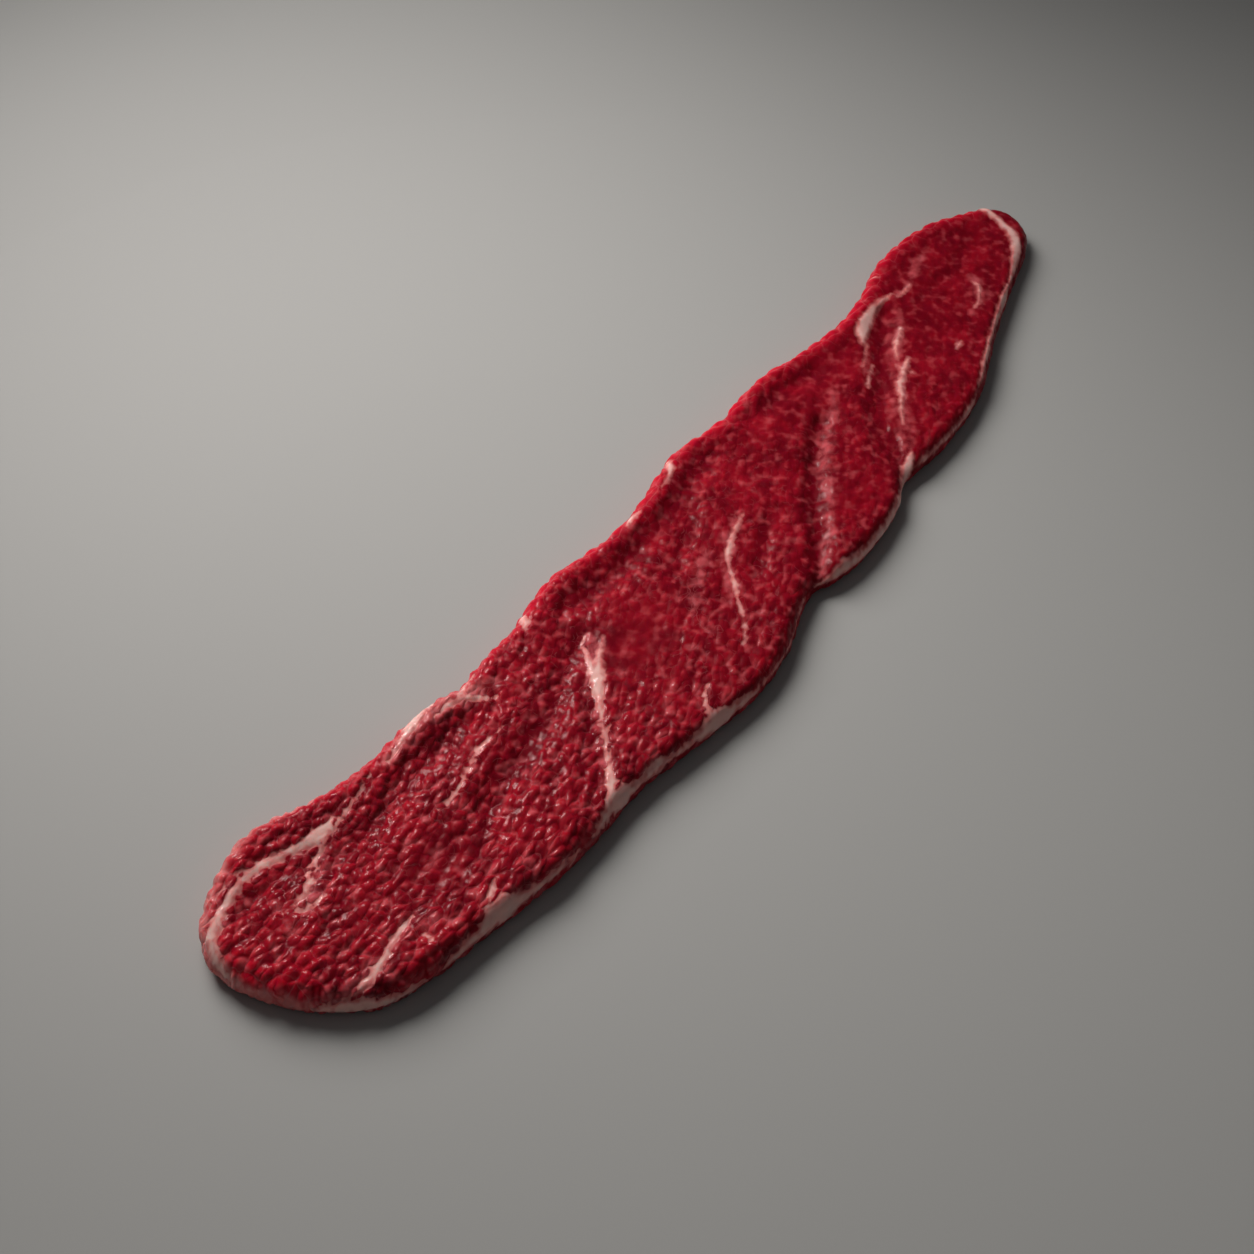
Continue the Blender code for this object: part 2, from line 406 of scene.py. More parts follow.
def add_side(mesh, sheet):
    """Extrudes the rim down and in to the underside, and returns the last rim."""
    outwards = mesh.verts.layers.float_vector.new("outwards")
    rim = [edge for edge in mesh.edges if edge.is_boundary]
    for edge in rim:
        loop = edge.link_loops[0]
        step = loop.link_loop_next.vert.co - loop.vert.co
        for vertex in edge.verts:
            vertex[outwards] += Vector((step.y, -step.x, 0)).normalized()
    last = Vector((0, WIDEST_HEIGHT))
    for turn in range(1, SIDE_STEPS + 1):
        angle = math.pi / 2 * turn / SIDE_STEPS
        now = Vector((UNDER_INSET * (1 - math.cos(angle)), WIDEST_HEIGHT * (1 - math.sin(angle))))
        grown = bmesh.ops.extrude_edge_only(mesh, edges=rim)["geom"]
        for vertex in grown:
            if isinstance(vertex, bmesh.types.BMVert):
                away = vertex[outwards].normalized()
                vertex.co -= away * (now.x - last.x)
                vertex.co.z = now.y
                vertex[sheet] += away * (now - last).length
        rim = [e for e in grown if isinstance(e, bmesh.types.BMEdge) and e.is_boundary]
        last = now
    return rim


def add_underside(mesh, sheet, rim):
    """Closes the body with a coarser grid, marked as underside, and sews it to the rim."""
    under = mesh.faces.layers.int.new("under")
    grid = bmesh.ops.create_grid(mesh, x_segments=COLUMNS // 2, y_segments=ROWS // 2, size=0.5)
    made = grid["verts"]
    square = np.array([vertex.co.xy for vertex in made]) + 0.5
    places = stretch_over_outline(square[:, 0], square[:, 1], UNDER_INSET + UNDER_GAP)
    for vertex, (x, y) in zip(made, places):
        vertex.co = (x, y, 0)
    set_layer(made, sheet, places)
    inner = {edge for vertex in made for edge in vertex.link_edges if edge.is_boundary}
    faces = {face for vertex in made for face in vertex.link_faces}
    faces.update(bmesh.ops.bridge_loops(mesh, edges=[*rim, *inner])["faces"])
    for face in faces:
        face[under] = 1


def build_body():
    """The smooth body as a mesh, in millimetres."""
    mesh = bmesh.new()
    sheet = mesh.verts.layers.float_vector.new("sheet")
    add_top(mesh, sheet)
    rim = add_side(mesh, sheet)
    add_underside(mesh, sheet, rim)
    bmesh.ops.recalc_face_normals(mesh, faces=mesh.faces)
    open_edges = sum(not edge.is_manifold for edge in mesh.edges)
    data = bpy.data.meshes.new("steak_meat")
    mesh.to_mesh(data)
    mesh.free()
    print("body:", len(data.vertices), "vertices,", open_edges, "open edges")
    return data


body = build_body()

# %% [markdown]
# ## The grain
# Muscle bundles follow the grain, which lies along the strip at the wide end and slants more
# and more towards the narrow end. Two numbers place every point in the grain: how far along a
# fibre it lies, and how far across the fibres. They are worked out from the slant at each x and
# kept as a UV map in millimetres, so both the relief and the colours can read them.

# %% Grain coordinates
GRAIN_SLANT = ((-235, 2), (-190, 6), (-140, 22), (-60, 29), (60, 33), (150, 29), (235, 24))
UNDER_SHIFT = 900


def grain_coordinates(points):
    """How far along the fibres, and across them, each point lies, in millimetres."""
    x_known, slant_known = np.array(GRAIN_SLANT, float).T
    x = np.linspace(-2 * HALF_LENGTH, 2 * HALF_LENGTH, 4 * HALF_LENGTH + 1)
    slant = np.radians(np.interp(x, x_known, slant_known))
    rise = np.cumsum(np.tan(slant))
    length = np.cumsum(np.cos(slant))
    here = np.interp(points[:, 0], x, slant)
    across = (points[:, 1] - np.interp(points[:, 0], x, rise)) * np.cos(here)
    along = np.interp(points[:, 0], x, length) + points[:, 1] * np.sin(here)
    return np.stack([along, across], axis=1)


def read(data, name, width, domain="vertices"):
    """A mesh attribute as an array of rows."""
    rows = np.empty(len(getattr(data, domain)) * width, np.float32)
    field = "vector" if width == 3 else "value"
    data.attributes[name].data.foreach_get(field, rows)
    return rows.reshape(-1, width).astype(float)


sheet = read(body, "sheet", 3)[:, :2]
corner_vertex = np.empty(len(body.loops), int)
body.loops.foreach_get("vertex_index", corner_vertex)
corner_counts = np.empty(len(body.polygons), int)
body.polygons.foreach_get("loop_total", corner_counts)
is_under = read(body, "under", 1, "polygons")[:, 0] > 0
corner_under = np.repeat(is_under, corner_counts)
places = np.empty(len(body.vertices) * 3, np.float32)
body.vertices.foreach_get("co", places)
plan = places.reshape(-1, 3)[:, :2].astype(float)
grain = np.where(
    corner_under[:, None],
    grain_coordinates(plan)[corner_vertex] + UNDER_SHIFT,
    grain_coordinates(sheet)[corner_vertex],
)
body.uv_layers.new(name="grain").data.foreach_set("uv", grain.astype(np.float32).ravel())
print("grain runs to, in mm:", np.ptp(grain[~corner_under], axis=0).round())

# %% [markdown]
# ## Fat
# Fat follows the seams between muscles. Each streak is a line of points with the half width
# there as the third number. What is kept on each vertex is how far inside the nearest streak it
# lies, in millimetres, below zero outside. The shader turns that into a crisp edge later, after
# it has let the bundles bite into it. A second list holds the pale band on the right edge: there
# the second number is not y, but how far in from the edge the band lies.

# %% Fat streaks
FAT = (
    ((-236, 17, 1.0), (-234, 23, 2.0), (-230, 28.4, 2.5), (-225, 31, 2.1), (-219, 33, 1.6),
     (-212, 35, 1.5), (-205, 35.6, 1.6), (-199, 34, 1.7), (-193, 31.8, 1.6), (-188, 30, 2.1),
     (-183, 28.6, 2.7), (-179, 28.2, 2.2), (-175.6, 29, 0.5)),
    ((-222, 37, 0.3), (-214, 38, 0.5), (-207, 38.4, 0.4)),
    ((-196, 21.4, 0.3), (-190, 23.8, 0.9), (-184, 25.4, 0.9), (-177, 26.6, 0.9), (-170, 27.6, 0.8),
     (-164, 28.6, 0.6), (-156, 30.6, 0.3)),
    ((-211, 18, 0.2), (-206, 17.2, 0.7), (-201, 17.4, 1.3), (-196, 19.2, 1.0), (-191, 21.4, 0.5)),
    ((-208, 17, 0.5), (-205.5, 14, 0.9), (-201, 12, 0.8), (-196, 11.8, 0.2)),
    ((-219, -17.4, 0.6), (-212, -18.4, 1.4), (-206, -17.4, 1.7), (-200, -16.4, 1.5),
     (-194, -15, 1.1), (-187, -14.2, 0.3)),
    ((-189, -20.5, 0.4), (-190.5, -23, 0.7), (-190, -26, 0.2)),
    ((-229.6, -10, 0.6), (-226.4, -13.6, 2.0), (-222.6, -17.8, 2.7), (-218.4, -22, 2.5),
     (-213.4, -26.6, 2.0), (-206.6, -30.2, 1.6), (-200, -32.4, 0.6)),
    ((-171, -31, 1.2), (-166.5, -28.6, 1.0), (-162.5, -26.4, 0.2)),
    ((-153, 4.4, 0.2), (-146, 3.8, 0.7), (-140, 5.3, 0.8), (-134, 7.3, 0.8), (-128, 9.1, 0.8),
     (-121, 9.3, 0.6), (-115, 8.6, 0.2)),
    ((-149, 29, 0.4), (-141, 31, 1.2), (-134, 33, 2.6), (-127, 35, 3.0), (-121, 35.6, 1.6)),
    ((-126, 29, 0.3), (-120, 28.6, 0.9), (-115, 27, 1.5), (-111.5, 23.6, 1.2), (-109, 20.4, 0.8),
     (-106, 18.2, 0.3)),
    ((-116, 27.6, 0.8), (-110, 29.6, 1.2), (-104, 31, 0.4)),
    ((-79, 28.6, 0.4), (-76.4, 30, 1.8), (-74, 33.5, 1.5)),
    ((-66.5, 11.4, 0.2), (-70.5, 10.2, 0.5), (-73, 6.4, 0.8), (-76, 2.6, 1.3), (-79.4, -1.6, 2.0)),
    ((-64, 5.6, 0.3), (-70, 2.4, 1.1), (-74.6, -0.4, 1.9), (-79, -3, 2.9), (-82.4, -6, 2.6),
     (-86, -9.2, 1.8), (-90, -12.8, 1.2), (-94.6, -17.2, 0.9), (-99, -21.8, 0.8),
     (-104, -26, 0.8), (-108.5, -30.4, 1.3), (-112.5, -34.4, 1.9), (-117, -37.2, 1.6),
     (-122, -38.6, 0.8), (-128, -39.6, 0.4)),
    ((-98, -20.6, 0.7), (-94.5, -19.4, 0.6), (-92, -21.2, 0.2)),
    ((-70, -44, 1.2), (-67, -39.8, 0.9), (-63.6, -36.8, 0.8), (-60, -35.6, 0.2)),
    ((12, -1, 0.6), (7, -2.3, 0.9), (2, -4, 1.0), (-2.5, -5.6, 1.4), (-6.5, -7.6, 1.3),
     (-10.5, -10.6, 0.7), (-14.5, -14.8, 0.7), (-18.5, -19, 0.9), (-23.5, -23.6, 0.5),
     (-28.5, -29, 0.6), (-33.5, -33, 0.4), (-38, -35.2, 0.5)),
    ((-18, 29, 0.6), (-14.5, 30.4, 1.6), (-10, 30, 1.2)),
    ((6, 30.6, 0.4), (12, 31.6, 0.9), (16, 34, 1.6), (19, 38, 1.6)),
    ((124.5, -5.6, 0.4), (119, -7.4, 1.4), (113.5, -9.2, 1.2), (108.5, -11, 1.6),
     (104, -14.4, 1.4), (99, -17, 0.8), (94, -20.2, 0.7), (90, -23.6, 0.3)),
    ((118.6, -3, 0.3), (117.4, -7.6, 0.8), (118, -12, 0.3)),
    ((121, 13.6, 0.8), (126, 17, 2.8), (131.5, 19, 3.0), (137, 20.4, 2.3), (142, 21.4, 1.7),
     (148, 20.8, 1.2), (154, 20, 0.4)),
    ((138, 6, 0.9), (131, 3.6, 1.4), (125, 0.4, 0.9), (121, -3, 0.2)),
    ((122, 12, 0.3), (115, 8.6, 0.5), (109, 6.4, 0.2)),
    ((113, 4.2, 0.3), (106, 1.6, 0.6), (100, -1.6, 0.3)),
    ((230, 21, 2.2), (228, 16, 2.0), (225.6, 11, 1.7), (223.6, 6, 1.8), (221, 1, 2.2),
     (216.5, -4, 2.7), (211.5, -7.6, 2.5), (205, -10.4, 2.0), (198, -13.2, 1.3), (191, -15.6, 0.6)),
    ((182, -2.6, 0.3), (181, -5.8, 0.7), (176.6, -8.6, 0.6), (172, -11, 0.6), (168, -11.4, 0.2)),
    ((140.5, -18.4, 0.4), (143.4, -18, 1.0), (146, -17.6, 0.2)),
    ((154, 17.2, 0.2), (158.5, 17, 0.9), (164, 17.2, 0.4)),
    ((160, 30, 0.3), (159, 34, 0.7)),
)  # fmt: skip
RIGHT_RIM_FAT = (
    ((-194, -2.4, 0.3), (-190, -1.6, 0.9), (-186, -1.0, 1.1), (-182, -0.4, 1.3), (-178, 0.4, 1.6),
     (-174, 1.4, 2.2), (-170, 2.6, 3.0), (-166, 2.8, 3.0), (-163, 1.2, 1.8), (-159, 0.4, 1.3),
     (-155, -0.4, 1.0), (-150, -0.6, 0.7), (-145, -0.2, 0.9), (-141, -0.6, 0.9), (-137, -0.8, 0.4)),
    ((-130, -0.6, 0.3), (-126, 0.4, 0.7), (-121, 1.6, 1.2), (-116, 2.6, 2.4), (-111, 2.8, 2.8),
     (-108, 0.9, 1.4), (-104, 0.2, 1.0), (-99, 0.6, 1.4), (-95, 1.2, 1.6), (-92, 0, 0.8),
     (-86, -0.2, 0.8), (-80, 0, 1.0), (-76, 0.6, 1.6), (-71, 1.6, 2.6), (-66, 1.8, 2.6),
     (-62, 0.8, 1.6), (-57, 0.3, 1.2), (-52, -0.3, 0.7), (-46, -0.6, 0.5), (-38, -0.9, 0.4),
     (-30, -1.6, 0.3), (-20, -1.8, 0.3), (-10, -0.6, 0.3), (-5, -0.2, 0.2)),
    ((3, -0.4, 0.4), (7, 0.3, 1.0), (11, 1.0, 1.6), (16, 1.4, 1.9), (20, 0.6, 1.5), (26, 0, 1.4),
     (36, 0, 1.4), (46, 0, 1.5), (54, 0, 1.5), (60, -0.3, 1.4), (64, -0.8, 1.5), (68, 0.6, 1.6),
     (71, 2.8, 1.9), (75, 4.4, 1.6), (79, 5.6, 0.5)),
    ((76, 0.2, 0.3), (79, 0.4, 0.8), (86, 0.2, 0.7), (94, 0, 0.6), (103, 0, 0.6), (109, 0, 0.8),
     (114, 0.1, 1.1), (119, 0.2, 0.7), (124, 0.5, 0.2)),
    ((128, 1.6, 0.3), (134, 2.2, 0.7), (142, 2.6, 0.8), (147, 2.4, 0.9), (156, 2.3, 0.8),
     (162, 2.0, 0.7), (168, 2.1, 1.0), (175, 2.0, 1.3), (181, 2.2, 1.6), (186, 2.2, 1.1),
     (190, 2.0, 0.4)),
)  # fmt: skip
RIM_FAT_DROP = 0.8
RIM_FAT_SPREAD = 1.35
FAR_FROM_FAT = -8.0


def inside_fat(points):
    """How far inside the nearest fat streak each point lies, in mm, below zero outside."""
    inside = np.full(len(points), FAR_FROM_FAT)
    edge_x, edge_y = spline(RIGHT_EDGE).T
    rim_streaks = [
        [
            (x, np.interp(x, edge_x, edge_y) + inset - RIM_FAT_DROP * half, RIM_FAT_SPREAD * half)
            for x, inset, half in streak
        ]
        for streak in RIGHT_RIM_FAT
    ]
    for streak in (*FAT, *rim_streaks):
        line = spline(streak)
        near = close_to(points, line[:, :2], -FAR_FROM_FAT)
        away, half_width = nearest(points[near], line[:, :2], line[:, 2:])
        inside[near] = np.maximum(inside[near], half_width[:, 0] - away)
    return inside


def store(data, name, values):
    """Keeps one number on each vertex, under a name that nodes can read."""
    attribute = data.attributes.new(name, "FLOAT", "POINT")
    attribute.data.foreach_set("value", values.astype(np.float32))


on_top = np.ones(len(body.vertices), bool)
on_top[corner_vertex[corner_under]] = False
fat = np.where(on_top, inside_fat(sheet), inside_fat(plan * (-1, 1)))
store(body, "fat", fat)
print("share of vertices in fat:", round(float((fat > 0).mean()), 3))

# %% [markdown]
# ## Lively, calm and pale meat
# The bundles stand out most at the wide end, and less and less towards the narrow end, where
# the meat turns soft and mottled. In a few patches the cut is smoother still. Each calm patch is
# an ellipse with a strength. A third list holds pale streaks, where the meat is painted pinker:
# partly a thin skin, and partly painted light where the bank of a fold catches the lamp. Each
# result is one number per vertex.
# The depth of the folds and the nearness of the left edge are kept in the same way.

# %% Lively, calm and pale meat
LIVELY_ALONG = (
    (-235, 1.0), (-110, 0.85), (-60, 0.55), (0, 0.42), (80, 0.35), (140, 0.25), (235, 0.15),
)  # fmt: skip
CALM_PATCHES = (
    (-168, -9, 15, 10, 0.5),
    (-114, 0, 22, 9, 0.4),
    (-58, -4, 19, 14, 0.7),
    (-25, 22, 38, 6, 0.3),
    (80, 16, 34, 9, 0.5),
    (88, -22, 14, 8, 0.3),
    (50, -30, 22, 9, 0.4),
    (150, 2, 22, 14, 0.4),
)
PALE_STREAKS = (
    ((-228, -10, 2.0), (-235, 2, 4.0), (-237, 14, 4.0), (-235, 26, 5.5), (-228, 38, 6.5),
     (-214, 46, 6.5), (-200, 49, 5.5), (-186, 46, 3.5), (-172, 40, 2.0)),
    ((-212, 12, 2.0), (-204, 14, 3.2), (-195, 18, 2.8), (-186, 24, 2.0)),
    ((-222, -14, 2.0), (-212, -18, 3.5), (-200, -16, 3.0), (-188, -18, 3.5), (-182, -24, 2.0)),
    ((-150, 29, 2.0), (-132, 32, 4.0), (-112, 26, 4.5), (-102, 22, 3.0)),
    ((-66, 9, 1.5), (-74, 3, 2.5), (-84, -7, 2.5), (-98, -20, 2.5), (-112, -34, 3.0)),
    ((-10, 0, 1.5), (-20, -3, 2.5), (-32, -9, 2.5), (-38.5, -16, 2.0), (-41, -23, 1.0)),
    ((12, 1, 1.5), (0, -4, 3.0), (-12, -11, 3.0), (-26, -27, 2.5)),
    ((92, 9, 2.0), (80, 3, 3.0), (68, -2, 3.2), (56, -9, 3.2), (44, -19, 2.8), (32, -27, 2.5),
     (18, -34, 2.0), (8, -39, 1.5)),
    ((148, 12, 1.5), (138, 7, 3.0), (128, 2, 3.5), (116, -7, 4.0), (104, -14, 4.0), (94, -21, 3.5),
     (84, -28, 3.5), (76, -33, 2.0)),
    ((122, 14, 2.0), (116, 9, 2.5), (108, 5, 2.0)),
    ((154, 17, 1.5), (166, 18, 2.5), (180, 22, 2.5), (190, 24, 1.5)),
    ((184, 0, 2.0), (180, -7, 4.0), (172, -11, 3.0), (164, -12, 1.5)),
)  # fmt: skip
PALE_REACH = 3.0
NARROWEST_PALE = 0.5


def lively_at(points):
    """How much the bundles stand out at each point, from 0 to 1."""
    x_known, lively_known = zip(*LIVELY_ALONG)
    lively = np.interp(points[:, 0], x_known, lively_known)
    for x, y, half_length, half_width, strength in CALM_PATCHES:
        reach = np.hypot((points[:, 0] - x) / half_length, (points[:, 1] - y) / half_width)
        lively *= 1 - strength * np.exp(-(reach**4))
    return lively


def pale_at(points):
    """How pale the meat is at each point, from 0 to 1."""
    pale = np.zeros(len(points))
    for streak in PALE_STREAKS:
        line = spline(streak)
        near = close_to(points, line[:, :2], PALE_REACH * line[:, 2].max())
        away, half_width = nearest(points[near], line[:, :2], line[:, 2:])
        here = np.exp(-((away / np.maximum(half_width[:, 0], NARROWEST_PALE)) ** 2))
        pale[near] = np.maximum(pale[near], here)
    return pale


RIM_GLOW_WIDTH = 6.0


def left_rim_at(points):
    """How close each point lies to the left edge, from 1 on the edge down to 0."""
    line = spline((*LEFT_EDGE, *WIDE_END))
    away, _ = nearest(points, line, line)
    return np.exp(-((away / RIM_GLOW_WIDTH) ** 2))


store(body, "lively", lively_at(sheet))
store(body, "pale", pale_at(sheet))
store(body, "fold", fold_depth(sheet))
store(body, "left_rim", left_rim_at(sheet))

# %% [markdown]
# ## Muscle bundles
# Each bundle is a cell of a Voronoi pattern laid out in the grain. The relief and the colours
# both need these cells, and they have to agree, so one function adds the same nodes to a
# geometry node group and to a shader node group: both kinds of tree accept the same texture
# nodes. A bundle is a smooth dome, and a thin crease follows the seam around it. The group gives
# the height, the distance to the seam, a random number for each bundle, the long furrows that
# part rows of bundles, and the seams of the broader lumps on the left rim.

# %% Node helpers
BUNDLE_LENGTH = 4.8
BUNDLE_WIDTH = 3.2
BUNDLE_WARP = 2.2
WARP_SPACING = 4.5
MERGE_SPACING = 4.5
FURROW_LENGTH = 24.0
FURROW_WIDTH = 4.8
RIM_LUMP_SPACING = 8.0
DOME_DEPTH = 0.65
CREASE_DEPTH = 0.35
DOME_SMOOTHNESS = 0.35


def add(tree, kind, inputs=(), **settings):
    """Adds a node, sets its options, and links or sets the inputs that are given by index."""
    node = tree.nodes.new(kind)
    for name, value in settings.items():
        setattr(node, name, value)
    for key, value in dict(inputs).items():
        if isinstance(value, bpy.types.NodeSocket):
            tree.links.new(value, node.inputs[key])
        else:
            node.inputs[key].default_value = value
    return node


def math_node(tree, operation, a, b=0.0, c=0.0, clamp=False):
    """One Math node's result."""
    inputs = {0: a, 1: b, 2: c}
    return add(tree, "ShaderNodeMath", inputs, operation=operation, use_clamp=clamp).outputs[0]


def ramp(tree, value, low, high, start=0.0, end=1.0):
    """A value eased from start to end while the input goes from low to high."""
    inputs = {"Value": value, "From Min": low, "From Max": high, "To Min": start, "To Max": end}
    return add(tree, "ShaderNodeMapRange", inputs, interpolation_type="SMOOTHSTEP").outputs[0]


def vector_math(tree, operation, a, b):
    """One Vector Math node's result."""
    return add(tree, "ShaderNodeVectorMath", {0: a, 1: b}, operation=operation).outputs[0]


def noise_at(tree, vector, scale, detail=2.0, roughness=0.5):
    """A noise value that averages one half."""
    inputs = {"Vector": vector, "Scale": scale, "Detail": detail, "Roughness": roughness}
    return add(tree, "ShaderNodeTexNoise", inputs).outputs[0]


def voronoi(tree, inputs, feature, output="Distance"):
    """One output of a flat Voronoi pattern."""
    settings = {"voronoi_dimensions": "2D", "feature": feature}
    return add(tree, "ShaderNodeTexVoronoi", inputs, **settings).outputs[output]


def new_group(name, kind, inputs, outputs):
    """An empty node group with named sockets, and the nodes that hold them."""
    group = bpy.data.node_groups.new(name, kind)
    for socket, socket_type in inputs:
        group.interface.new_socket(socket, in_out="INPUT", socket_type=socket_type)
    for socket, socket_type in outputs:
        group.interface.new_socket(socket, in_out="OUTPUT", socket_type=socket_type)
    return group, group.nodes.new("NodeGroupInput"), group.nodes.new("NodeGroupOutput")


# %% The bundle pattern, for geometry and for shaders
def bundle_group(kind):
    """The node group that lays out the muscle bundles, in either kind of tree."""
    inputs = [("Grain", "NodeSocketVector")]
    names = ("Height", "Seam", "Tint", "Furrow", "Rim Seam")
    group, start, end = new_group(
        f"muscle_bundles_{kind}", kind, inputs, [(n, "NodeSocketFloat") for n in names]
    )
    grain_in = start.outputs["Grain"]
    wobble = add(
        group,
        "ShaderNodeTexNoise",
        {"Vector": grain_in, "Scale": 1 / WARP_SPACING, "Detail": 2.0},
    ).outputs["Color"]
    wobble = vector_math(group, "SUBTRACT", wobble, (0.5, 0.5, 0.5))
    wobble = vector_math(group, "MULTIPLY", wobble, (BUNDLE_WARP * 2, BUNDLE_WARP, 0))
    warped = vector_math(group, "ADD", grain_in, wobble)
    cells = vector_math(group, "MULTIPLY", warped, (1 / BUNDLE_LENGTH, 1 / BUNDLE_WIDTH, 0))
    common = {"Vector": cells, "Scale": 1.0, "Randomness": 0.9}
    seam = voronoi(group, common, "DISTANCE_TO_EDGE")
    cell_colour = voronoi(group, common, "F1", "Color")
    tint = add(group, "ShaderNodeSeparateXYZ", {0: cell_colour}).outputs[0]
    bead = voronoi(group, {**common, "Smoothness": DOME_SMOOTHNESS}, "SMOOTH_F1")
    merged = ramp(group, noise_at(group, grain_in, 1 / MERGE_SPACING, 1.0), 0.35, 0.6, 0.5, 1.0)
    crease = ramp(group, seam, 0.0, 0.2, CREASE_DEPTH, 0.0)
    valley = math_node(group, "ADD", ramp(group, bead, 0.0, 0.75, 0.0, DOME_DEPTH), crease)
    height = math_node(group, "SUBTRACT", 1.0, math_node(group, "MULTIPLY", valley, merged))
    rows = vector_math(group, "MULTIPLY", warped, (1 / FURROW_LENGTH, 1 / FURROW_WIDTH, 0))
    furrow = ramp(group, noise_at(group, rows, 1.0, 1.0), 0.36, 0.6)
    rim_cells = {"Vector": warped, "Scale": 1 / RIM_LUMP_SPACING, "Randomness": 0.8}
    rim_seam = voronoi(group, rim_cells, "DISTANCE_TO_EDGE")
    for name, socket in zip(names, (height, seam, tint, furrow, rim_seam)):
        group.links.new(socket, end.inputs[name])
    return group


# %% [markdown]
# ## Relief
# A geometry node modifier reads the grain, asks the bundle group for heights, and moves each
# vertex along its normal. Fat lies smoother than muscle, and calm meat lower, so both numbers
# on the vertices weaken the bundles. Calm meat has soft lumps in their place, and the left rim
# has broader ones. The modifier is applied, and what sank below the floor is flattened onto it,
# as the weight of the meat would do. Hollows in the underside stay about a millimetre deep.

# %% Relief by geometry nodes
BUNDLE_RISE = 1.1
FURROW_RISE = 0.5
RIM_LUMP_RISE = 0.8
SOFT_LUMP_RISE = 1.2
SOFT_LUMP_SPACING = 6.0
RELIEF_BASE = -0.95
UNDER_HOLLOW = 1.0


def kept(group, name, data_type="FLOAT"):
    """What the mesh keeps under a name, read by geometry nodes."""
    inputs = {"Name": name}
    return add(group, "GeometryNodeInputNamedAttribute", inputs, data_type=data_type).outputs[0]


def relief_group():
    """A geometry node group that raises the bundles on the smooth body."""
    sockets = [("Geometry", "NodeSocketGeometry")]
    group, start, end = new_group("meat_relief", "GeometryNodeTree", sockets, sockets)
    grain_uv = kept(group, "grain", "FLOAT_VECTOR")
    fat_in = kept(group, "fat")
    lively_in = kept(group, "lively")
    rim_in = kept(group, "left_rim")
    bundles = group.nodes.new("GeometryNodeGroup")
    bundles.node_tree = bundle_group("GeometryNodeTree")
    group.links.new(grain_uv, bundles.inputs["Grain"])
    muscle = ramp(group, fat_in, -1.0, 0.5, 1.0, 0.1)
    height = math_node(group, "MULTIPLY", bundles.outputs["Height"], BUNDLE_RISE)
    height = math_node(group, "MULTIPLY_ADD", bundles.outputs["Furrow"], FURROW_RISE, height)
    height = math_node(group, "MULTIPLY", height, lively_in)
    height = math_node(group, "MULTIPLY", height, ramp(group, rim_in, 0.1, 0.9, 1.0, 0.4))
    rim_lump = ramp(group, bundles.outputs["Rim Seam"], 0.0, 0.35, 0.0, RIM_LUMP_RISE)
    height = math_node(group, "MULTIPLY_ADD", rim_lump, rim_in, height)
    height = math_node(group, "MULTIPLY", height, muscle)
    soft_lumps = noise_at(group, grain_uv, 1 / SOFT_LUMP_SPACING, 1.0)
    calm = ramp(group, lively_in, 0.2, 1.0, SOFT_LUMP_RISE, SOFT_LUMP_RISE / 2)
    height = math_node(group, "MULTIPLY_ADD", soft_lumps, calm, height)
    flush = ramp(group, fat_in, -0.3, 0.8, 0.0, 0.55)
    height = math_node(group, "ADD", height, flush)
    height = math_node(group, "ADD", height, RELIEF_BASE)
    normal = group.nodes.new("GeometryNodeInputNormal").outputs[0]
    offset = add(group, "ShaderNodeVectorMath", {0: normal, "Scale": height}, operation="SCALE")
    raised = add(
        group,
        "GeometryNodeSetPosition",
        {"Geometry": start.outputs["Geometry"], "Offset": offset.outputs[0]},
    )
    group.links.new(raised.outputs["Geometry"], end.inputs["Geometry"])
    return group


smooth_body = bpy.data.objects.new("smooth_body", body)
bpy.context.scene.collection.objects.link(smooth_body)
modifier = smooth_body.modifiers.new("relief", "NODES")
modifier.node_group = relief_group()
depsgraph = bpy.context.evaluated_depsgraph_get()
meat_data = bpy.data.meshes.new_from_object(
    smooth_body.evaluated_get(depsgraph), preserve_all_data_layers=True, depsgraph=depsgraph
)
bpy.data.objects.remove(smooth_body)
meat_data.name = "steak_meat"
vertices = np.empty(len(meat_data.vertices) * 3, np.float32)
meat_data.vertices.foreach_get("co", vertices)
vertices = vertices.reshape(-1, 3)
vertices[:, 2] = np.maximum(vertices[:, 2], 0)
vertices[~on_top, 2] = np.minimum(vertices[~on_top, 2], UNDER_HOLLOW)
meat_data.vertices.foreach_set("co", (vertices * MM).ravel())
meat_data.shade_smooth()
meat_data.update()
meat = bpy.data.objects.new("steak_meat", meat_data)
bpy.context.scene.collection.objects.link(meat)
triangles = sum(count - 2 for count in corner_counts)
print("meat:", triangles, "triangles, box in mm:", np.ptp(vertices, axis=0).round(1))
